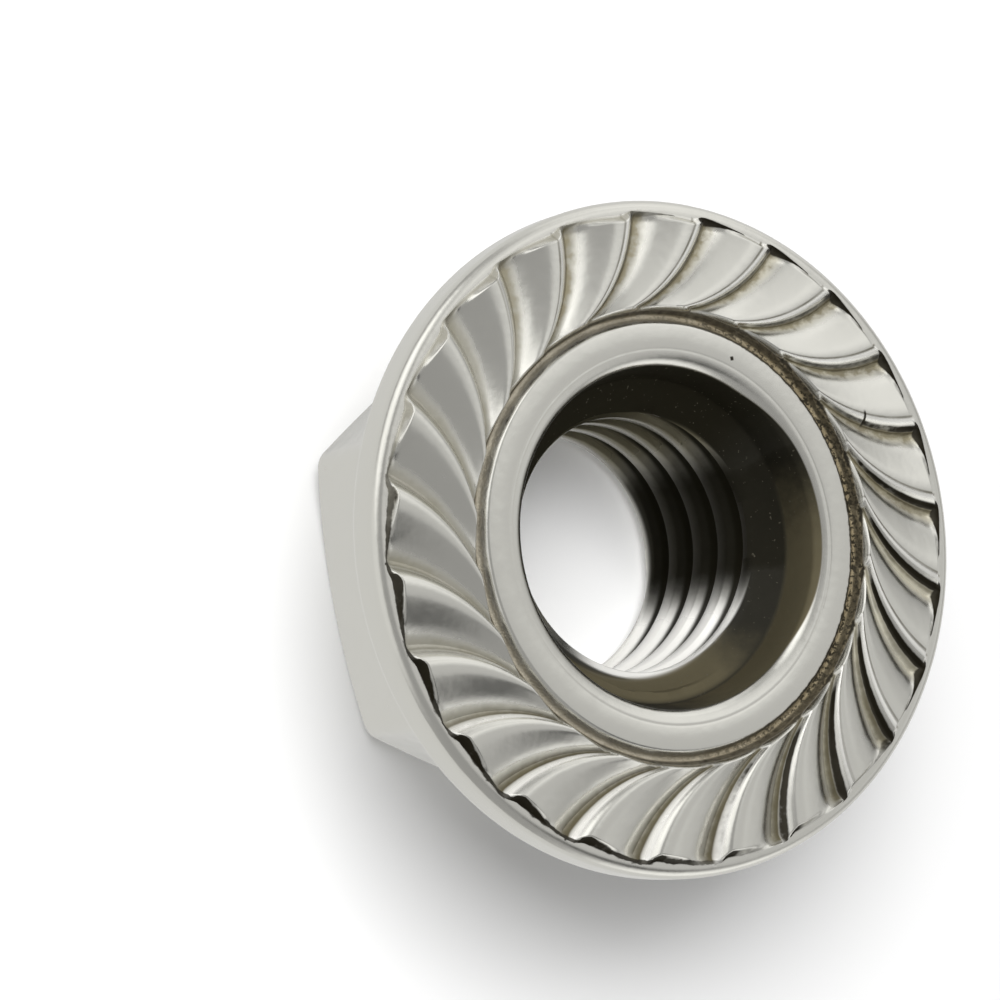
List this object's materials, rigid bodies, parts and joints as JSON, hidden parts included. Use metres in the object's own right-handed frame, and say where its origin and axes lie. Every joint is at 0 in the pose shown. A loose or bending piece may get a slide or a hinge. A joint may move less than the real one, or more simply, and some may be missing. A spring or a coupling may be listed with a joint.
{
  "type": "serrated flange nut",
  "caption": "Hexagon nut with a wide flange. The curved ratchet teeth on its bearing face grip the clamped surface and stop the nut from working loose.",
  "frame": {"origin": "centre of the plain hexagon end, on the thread axis", "axes": "+Z along the thread axis, from the hexagon end towards the serrated bearing face; +X square to one of the six flats"},
  "size_m": [0.0178, 0.0178, 0.0077],
  "materials": {
    "stainless_steel": "polished"
  },
  "bodies": {
    "root": {"flange_nut": "stainless_steel"}
  },
  "joints": []
}
